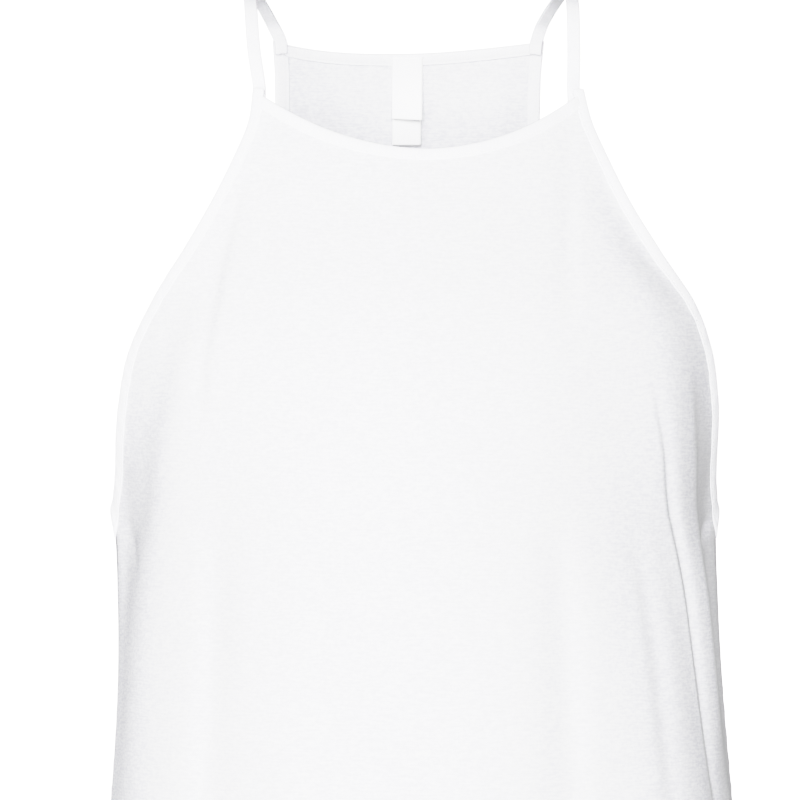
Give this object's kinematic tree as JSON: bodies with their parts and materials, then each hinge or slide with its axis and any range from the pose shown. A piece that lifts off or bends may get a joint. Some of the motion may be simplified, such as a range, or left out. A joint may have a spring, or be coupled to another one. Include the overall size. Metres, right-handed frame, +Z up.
{
  "type": "high neck tank top",
  "caption": "Sleeveless high neck tank top in light jersey with narrow shoulder straps and bound edges, filled out as worn and hollow inside.",
  "frame": {"origin": "midway between the two straps and level with their tops, where the wearer's shoulders hold the garment", "axes": "+Z up, the front of the garment faces -Y, +X to the right as seen from the front"},
  "size_m": [0.3749, 0.2688, 0.6608],
  "materials": {
    "jersey": "soft matt single jersey with a fine uneven slub",
    "binding": "matt self-fabric binding, stitched down",
    "label": "smooth white satin tape, bare"
  },
  "bodies": {
    "root": {"front_body": "jersey", "back_body": "jersey", "front_neck_binding": "binding", "back_neck_binding": "binding", "left_front_armhole_binding": "binding", "right_front_armhole_binding": "binding", "left_back_armhole_binding": "binding", "right_back_armhole_binding": "binding", "left_strap": "binding", "right_strap": "binding", "neck_label": "label", "care_label": "label"}
  },
  "joints": []
}
